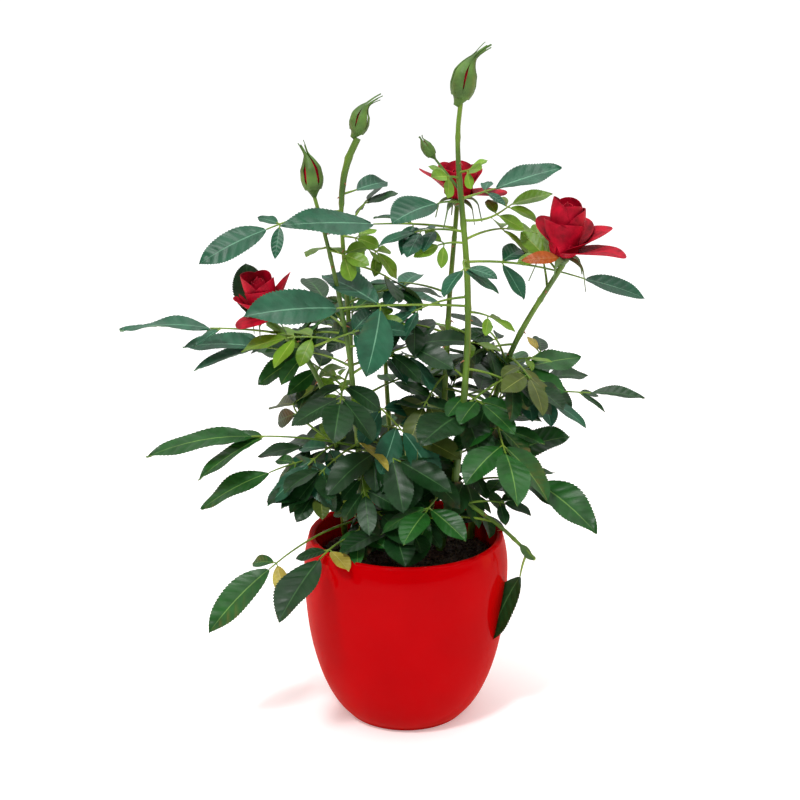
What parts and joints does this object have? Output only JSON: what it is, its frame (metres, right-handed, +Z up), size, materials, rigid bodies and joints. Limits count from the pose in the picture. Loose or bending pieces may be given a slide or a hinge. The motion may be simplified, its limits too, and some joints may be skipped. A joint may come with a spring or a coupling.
{
  "type": "potted rose bush",
  "caption": "Bushy miniature rose with three open red blooms, four buds and toothed leaves, growing in a round glossy glazed pot.",
  "frame": {"origin": "centre of the flat underside of the pot, where it stands", "axes": "+Z up through the pot and the plant, +X to the right of the side with the large blooms, -Y the front"},
  "size_m": [0.3448, 0.2358, 0.4385],
  "materials": {
    "glaze": "gloss",
    "compost": "matte",
    "cane": "satin",
    "leaf": "satin",
    "young_leaf": "satin",
    "petal": "satin",
    "bud": "satin"
  },
  "bodies": {
    "root": {"bloom_left": "petal", "bloom_middle": "petal", "bloom_right": "petal", "bud_front": "bud", "bud_left": "bud", "bud_small": "bud", "bud_top": "bud", "cane_front": "cane", "cane_left": "cane", "cane_low": "cane", "cane_middle": "cane", "cane_rear": "cane", "cane_right": "cane", "cane_side": "cane", "cane_tall": "cane", "compost": "compost", "heart_low": "young_leaf", "heart_mid": "young_leaf", "leaves_front_1": "leaf", "leaves_front_2": "leaf", "leaves_front_3": "leaf", "leaves_front_4": "leaf", "leaves_front_5": "leaf", "leaves_front_6": "leaf", "leaves_left_1": "leaf", "leaves_left_2": "leaf", "leaves_left_3": "leaf", "leaves_left_4": "leaf", "leaves_left_5": "leaf", "leaves_left_6": "leaf", "leaves_low_1": "leaf", "leaves_low_2": "leaf", "leaves_middle_1": "leaf", "leaves_middle_2": "leaf", "leaves_rear_1": "leaf", "leaves_rear_2": "leaf", "leaves_rear_3": "leaf", "leaves_right_1": "leaf", "leaves_right_2": "leaf", "leaves_right_3": "leaf", "leaves_right_4": "leaf", "leaves_right_5": "leaf", "leaves_right_6": "leaf", "leaves_right_7": "leaf", "leaves_right_8": "leaf", "leaves_right_9": "leaf", "leaves_side_1": "leaf", "leaves_side_2": "leaf", "leaves_side_3": "leaf", "leaves_side_4": "leaf", "leaves_side_5": "leaf", "leaves_tall_1": "leaf", "leaves_tall_2": "leaf", "leaves_tall_3": "leaf", "leaves_tall_4": "leaf", "leaves_tall_5": "leaf", "leaves_tall_6": "leaf", "leaves_tall_7": "leaf", "leaves_tall_8": "leaf", "pot": "glaze"}
  },
  "joints": []
}
